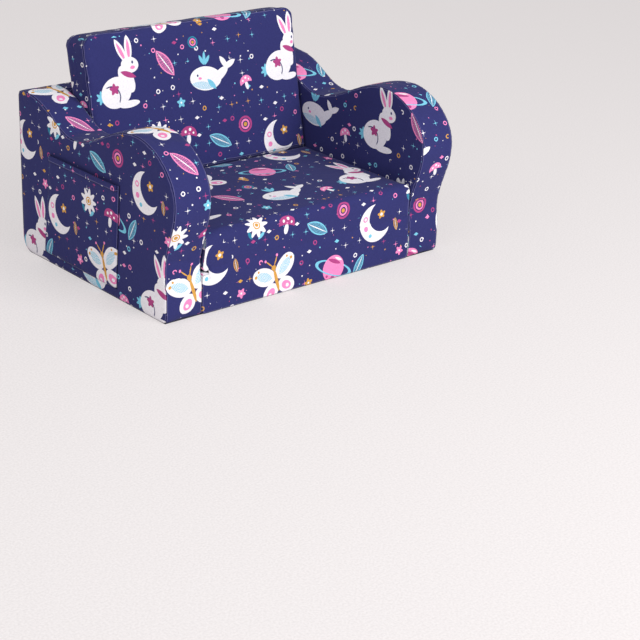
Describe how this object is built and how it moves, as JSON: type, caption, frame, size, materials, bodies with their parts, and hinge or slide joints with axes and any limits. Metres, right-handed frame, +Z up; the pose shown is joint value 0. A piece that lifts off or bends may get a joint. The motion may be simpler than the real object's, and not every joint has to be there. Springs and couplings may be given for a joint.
{
  "type": "kids flip open sofa",
  "caption": "Small foam sofa for a child, with scroll-fronted arms, a side pocket and a seat and backrest that unfold forward into a lounger.",
  "frame": {"origin": "middle of the underside of the frame, on the floor", "axes": "+Z up, -Y the way a seated child faces, +X to the viewer's right seen from the front"},
  "size_m": [0.7695, 0.5845, 0.4955],
  "materials": {
    "printed_cloth": "navy printed polyester cloth, matt with a soft bloom",
    "foam": "open-cell polyurethane foam",
    "lining": "dark non-woven lining",
    "zip_tape": "woven tape",
    "zip_chain": "nylon coil",
    "zip_slider": "enamelled zinc"
  },
  "bodies": {
    "frame": {"left_arm_foam": "foam", "right_arm_foam": "foam", "back_foam": "foam", "base_foam": "foam", "underside_lining": "lining", "left_arm_front_and_top_cover": "printed_cloth", "left_arm_outer_cover": "printed_cloth", "left_arm_inner_cover": "printed_cloth", "right_arm_front_and_top_cover": "printed_cloth", "right_arm_outer_cover": "printed_cloth", "right_arm_inner_cover": "printed_cloth", "back_inner_cover": "printed_cloth", "back_top_cover": "printed_cloth", "rear_cover": "printed_cloth", "base_front_cover": "printed_cloth", "base_top_cover": "printed_cloth", "front_fold_strip": "printed_cloth", "pocket_panel": "printed_cloth", "pocket_binding": "printed_cloth", "zip_tape": "zip_tape", "zip_chain": "zip_chain"},
    "seat_panel": {"seat_panel_foam": "foam", "seat_panel_top_cover": "printed_cloth", "seat_panel_border": "printed_cloth", "seat_panel_under_cover": "printed_cloth", "rear_fold_bead": "printed_cloth"},
    "backrest": {"backrest_foam": "foam", "backrest_front_cover": "printed_cloth", "backrest_border": "printed_cloth", "backrest_rear_cover": "printed_cloth"},
    "zip_slider": {"zip_slider": "zip_slider"}
  },
  "joints": [
    {"name": "seat_flip", "type": "hinge", "parent": "frame", "child": "seat_panel", "pos_m": [0, -0.275, 0.09], "axis": [1, 0, 0], "range_deg": [0, 180]},
    {"name": "backrest_unfold", "type": "hinge", "parent": "seat_panel", "child": "backrest", "pos_m": [0, 0.13812, 0.114], "axis": [1, 0, 0], "range_deg": [-78.5, 0]},
    {"name": "zip_slide", "type": "slide", "parent": "frame", "child": "zip_slider", "axis": [1, 0, 0], "range_m": [-0.537, 0]}
  ],
  "couplings": [
    {"joint": "backrest_unfold", "follows": "seat_flip", "ratio": -0.43611}
  ]
}
